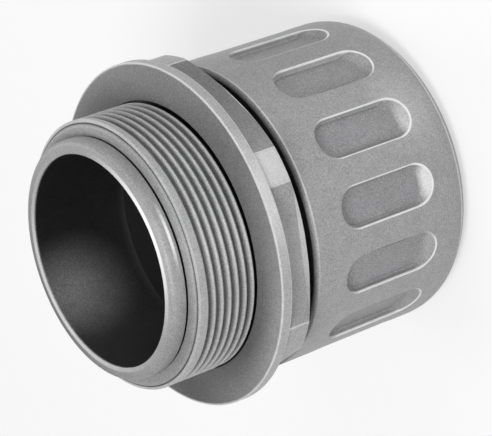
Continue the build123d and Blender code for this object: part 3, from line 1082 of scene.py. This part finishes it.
def paint_nut(coat, size):
    """Grey, with painted highlight lines round the grips, painted shade on their floors and painted sheen on
    the scoops.
    """
    mm = Millimetres(size)
    band, spot, both, mix = coat.band, coat.spot, coat.both, coat.mix
    outside, height, shoulder, rise = mm.radius, mm.height, mm.shoulder, mm.shoulder_rise
    grip_low, grip_high = mm.grip_margin, mm.grip_margin + mm.grip_length
    grip_middle = grip_low + mm.grip_length / 2
    floor, scoop_top = outside - mm.grip_depth, grip_low + mm.grip_scoop
    chamfer_foot = height - mm.front_chamfer
    ovals = {
        "First": size.turn_at_rest - math.pi / 2,
        "Pitch": TURN / size.grip_count,
        "Radius": size.radius,
        "Centre": size.grip_margin + size.grip_length / 2,
        "Half Length": size.grip_length / 2,
        "Half Width": size.grip_width / 2,
    }
    outline = place_group(coat.tree, "Oval outline", ovals)["Distance"]

    def along_outline(distance, half_width, softness=0.1):
        """Mask of a line that follows the grips at a distance from their mouths."""
        away = arithmetic(coat.tree, "ABSOLUTE", arithmetic(coat.tree, "SUBTRACT", outline, distance * MM))
        fade = {"Value": away, "From Min": half_width * MM, "From Max": (half_width + softness) * MM}
        return add_node(coat.tree, "ShaderNodeMapRange", {**fade, "To Min": 1.0, "To Max": 0.0}).outputs[0]

    # Painted shade on the grips' floors and at the feet of their walls, painted highlights on the lit walls
    # and scoops, and a painted highlight line round the mouths, with painted shade on its stretches that turn
    # from the light
    floors = band(inner=floor - 0.3, outer=outside - 0.25, low=grip_low, high=grip_high, softness=0.2)
    feet = both(
        along_outline(distance=-0.38, half_width=0.1),
        band(outer=outside - 0.3, low=scoop_top + 2, softness=1),
    )
    walls = both(
        along_outline(distance=0.05, half_width=0.2),
        band(inner=floor + 0.25, outer=outside - 0.3, softness=0.2),
        spot(across=17, along=-20, height=19, reach=24, tall=30),
    )
    scoops = both(
        band(inner=floor - 0.3, outer=outside - 0.08, low=grip_low - 0.1, softness=0.1),
        band(high=scoop_top + 0.3, softness=1.2),
    )
    front_edge = band(inner=outside - 0.3, low=chamfer_foot - 0.2, high=chamfer_foot + 0.08, softness=0.08)
    lines = both(
        along_outline(distance=0.06, half_width=0.12),
        band(inner=outside - 0.35, softness=0.15),
        band(high=grip_high - 2.2, softness=2.5),
    )
    shaded = [
        (spot(across, along, height=grip_middle, reach=4.5, tall=15), "line_shade")
        for across, along in SHADED_LINES
    ]
    return mix(
        "nut",
        (spot(across=20, along=-18, height=0.6 * height, reach=17, tall=30), "nut_shade"),
        (spot(across=3, along=-outside, height=9.5, reach=10, tall=9), "nut_sheen"),
        (band(inner=outside - shoulder, high=0.3 * rise, softness=0.9), "shoulder_shade"),
        (floors, "grip"),
        (feet, "grip_foot_shade"),
        (walls, "grip_wall_highlight"),
        (scoops, mix("scoop", (spot(across=-8, along=-25.5, height=scoop_top, reach=18), "scoop_sheen"))),
        # Painted shadow: the nut's front face and chamfer next to the hexagon painted nearly black
        (band(outer=outside - 0.35, low=chamfer_foot, softness=0.8), "gap"),
        # Painted highlights along the nut's front edge on the lit side and a painted highlight line on the
        # shoulder
        (both(front_edge, spot(across=4, along=-outside, height=height, reach=34)), "edge"),
        (band(inner=outside - 0.19 * shoulder, low=0.44 * rise, high=0.54 * rise, softness=0.15), "edge"),
        (lines, mix("grip_line", *shaded)),
    )


# Operators


class ConnectorBody(bpy.types.Operator):
    """Adds the moulded body with its threads, flange and hexagon."""

    bl_idname = "connector.body"
    bl_label = "Connector body"

    def execute(self, context):
        scene = context.scene
        piece = body_skin(scene.connector_body, scene.connector_nut).finish("connector_moulding")
        sizes, finish = scene.connector_body, scene.connector_finish
        material = plastic("Body plastic", finish, lambda coat: paint_body(coat, sizes), roughness=0.46)
        piece.data.materials.append(material)
        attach(piece, "connector")
        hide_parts("connector_body")
        return {"FINISHED"}


class CompressionNut(bpy.types.Operator):
    """Adds the compression nut with its finger grips."""

    bl_idname = "connector.nut"
    bl_label = "Compression nut"

    def execute(self, context):
        scene = context.scene
        piece = nut_skin(scene.connector_nut).finish("grip_nut")
        sizes, finish = scene.connector_nut, scene.connector_finish
        material = plastic("Nut plastic", finish, lambda coat: paint_nut(coat, sizes), roughness=0.48)
        piece.data.materials.append(material)
        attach(piece, "nut")
        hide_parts("compression_nut")
        return {"FINISHED"}


class InnerRings(bpy.types.Operator):
    """Gives the clamping ring and the sealing ring their finishes."""

    bl_idname = "connector.rings"
    bl_label = "Clamping and sealing rings"

    def execute(self, context):
        finish = context.scene.connector_finish
        plain_ring = plastic("Ring plastic", finish, "ring", roughness=0.5, mottle=0.3, grain_scale=2400.0)
        rubber = plastic(
            "Seal rubber", finish, "seal", roughness=0.62, mottle=0.5, bump=0.03, grain_scale=1800.0
        )
        materials = {"clamping_ring": plain_ring, "sealing_ring": rubber}
        for name, material in materials.items():
            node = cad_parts[name]
            node.data.materials.clear()
            node.data.materials.append(material)
        return {"FINISHED"}


# Name, setting of the power, place and size of each lamp, in metres, and the point they are turned to
LAMPS = (
    ("Key lamp", "key_power", (-0.22, -0.30, 0.62), 0.26),
    ("Fill lamp", "fill_power", (0.55, -0.40, 0.30), 0.40),
    ("Rim lamp", "rim_power", (0.35, 0.45, 0.45), 0.30),
)
LAMP_TARGET = (0.0, 0.0, 0.032)
# The floor's half width, its way back to the wall, the wall's height and the bend between them, in metres
FLOOR_HALF, FLOOR_BACK, WALL_HEIGHT, BEND, BEND_STEPS = 2.0, 1.6, 1.5, 0.5, 12
# Share of white that the paper shows where it is looked at
PAPER_GLOW = 0.6


class Studio(bpy.types.Operator):
    """Adds the floor, the lamps, the world and the camera."""

    bl_idname = "connector.studio"
    bl_label = "Studio"

    def execute(self, context):
        scene = context.scene
        settings = scene.connector_studio
        self.add_floor(scene)
        self.add_world(scene, settings)
        for name, setting, place, size in LAMPS:
            self.add_lamp(scene, name, getattr(settings, setting), place, size)
        camera_data = bpy.data.cameras.new("Camera")
        camera_data.sensor_width = 36.0
        camera_data.lens = settings.camera_focal_length
        camera_data.clip_start = 0.01
        camera_data.clip_end = 20.0
        camera = bpy.data.objects.new("Camera", camera_data)
        camera.location = settings.camera_place
        camera.rotation_euler = settings.camera_turn
        scene.collection.objects.link(camera)
        scene.camera = camera
        scene.view_settings.view_transform = "Standard"
        return {"FINISHED"}

    def add_lamp(self, scene, name, power, place, size):
        data = bpy.data.lights.new(name, "AREA")
        data.energy = power
        data.size = size
        lamp = bpy.data.objects.new(name, data)
        lamp.location = place
        direction = [b - a for a, b in zip(place, LAMP_TARGET)]
        flat = math.hypot(direction[0], direction[1])
        lamp.rotation_euler = (
            math.atan2(flat, -direction[2]),
            0.0,
            math.atan2(direction[1], direction[0]) - math.pi / 2,
        )
        scene.collection.objects.link(lamp)

    def add_floor(self, scene):
        mesh = bpy.data.meshes.new("studio_floor")
        work = bmesh.new()
        profile = [(-FLOOR_HALF, 0.0), (FLOOR_BACK - BEND, 0.0)]
        for step in range(1, BEND_STEPS + 1):
            turn = math.pi / 2 * step / BEND_STEPS
            profile.append((FLOOR_BACK - BEND + BEND * math.sin(turn), BEND - BEND * math.cos(turn)))
        profile.append((FLOOR_BACK, WALL_HEIGHT))
        sides = (-FLOOR_HALF, FLOOR_HALF)
        rows = [[work.verts.new((across, along, up)) for across in sides] for along, up in profile]
        for first, second in zip(rows, rows[1:]):
            work.faces.new((first[0], first[1], second[1], second[0]))
        work.to_mesh(mesh)
        work.free()
        mesh.shade_smooth()
        floor = bpy.data.objects.new("studio_floor", mesh)
        scene.collection.objects.link(floor)
        mesh.materials.append(self.paper(scene.connector_finish))

    def paper(self, finish):
        """Matt paper that looks nearly white to the camera and still shows the shadow."""
        material = bpy.data.materials.new("Studio paper")
        material.use_nodes = True
        tree = material.node_tree
        shader = tree.nodes["Principled BSDF"]
        shade = {"Value": noise(tree, scale=900.0, detail=2.0), "To Min": 0.97, "To Max": 1.0}
        shade = add_node(tree, "ShaderNodeMapRange", shade).outputs[0]
        tinted = vector_result(tree, "SCALE", 0, first=tuple(finish.floor)[:3], scale=shade)
        tree.links.new(tinted, shader.inputs["Base Color"])
        shader.inputs["Roughness"].default_value = 0.9
        shader.inputs["Specular IOR Level"].default_value = 0.1
        glow = add_node(tree, "ShaderNodeEmission", {"Color": (1.0, 1.0, 1.0, 1.0), "Strength": 1.0})
        path = add_node(tree, "ShaderNodeLightPath").outputs
        seen = arithmetic(tree, "MAXIMUM", path["Is Camera Ray"], path["Is Glossy Ray"])
        seen = arithmetic(tree, "MAXIMUM", seen, path["Is Transmission Ray"])
        share = arithmetic(tree, "MULTIPLY", seen, PAPER_GLOW)
        mix = add_node(tree, "ShaderNodeMixShader", {0: share, 1: shader.outputs[0], 2: glow.outputs[0]})
        tree.links.new(mix.outputs[0], tree.nodes["Material Output"].inputs["Surface"])
        return material

    def add_world(self, scene, settings):
        world = bpy.data.worlds.new("Studio")
        scene.world = world
        world.use_nodes = True
        tree = world.node_tree
        tree.nodes.clear()
        seen = add_node(tree, "ShaderNodeLightPath").outputs["Is Camera Ray"]
        strength = {"Value": seen, "To Min": settings.ambient, "To Max": 1.0}
        strength = add_node(tree, "ShaderNodeMapRange", strength).outputs[0]
        white = {"Color": (1.0, 1.0, 1.0, 1.0), "Strength": strength}
        background = add_node(tree, "ShaderNodeBackground", white)
        output = tree.nodes.new("ShaderNodeOutputWorld")
        tree.links.new(background.outputs[0], output.inputs["Surface"])


STEPS = (ConnectorBody, CompressionNut, InnerRings, Studio)


class ConnectorPanel(bpy.types.Panel):
    """Lists the steps that build the connector, and all the settings."""

    bl_idname = "CONNECTOR_PT_panel"
    bl_label = "Conduit connector"
    bl_space_type = "VIEW_3D"
    bl_region_type = "UI"
    bl_category = "Connector"

    def draw(self, context):
        layout = self.layout
        for step in STEPS:
            layout.operator(step.bl_idname)
        for name in GROUPS:
            group = getattr(context.scene, name)
            box = layout.box()
            box.label(text=name.replace("_", " ").capitalize())
            for key in group.bl_rna.properties.keys():
                if key not in ("rna_type", "name"):
                    box.prop(group, key)


GROUPS = {
    "connector_body": BodySizes,
    "connector_nut": NutSizes,
    "connector_finish": Finishes,
    "connector_studio": StudioSettings,
}


def register():
    for group in GROUPS.values():
        bpy.utils.register_class(group)
    for name, group in GROUPS.items():
        setattr(bpy.types.Scene, name, PointerProperty(type=group))
    for item in (*STEPS, ConnectorPanel):
        bpy.utils.register_class(item)


def unregister():
    for item in (ConnectorPanel, *reversed(STEPS)):
        bpy.utils.unregister_class(item)
    for name in GROUPS:
        delattr(bpy.types.Scene, name)
    for group in GROUPS.values():
        bpy.utils.unregister_class(group)


def main():
    """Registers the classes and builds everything."""
    register()
    bpy.ops.connector.body()
    bpy.ops.connector.nut()
    bpy.ops.connector.rings()
    bpy.ops.connector.studio()


if __name__ == "__main__":
    main()
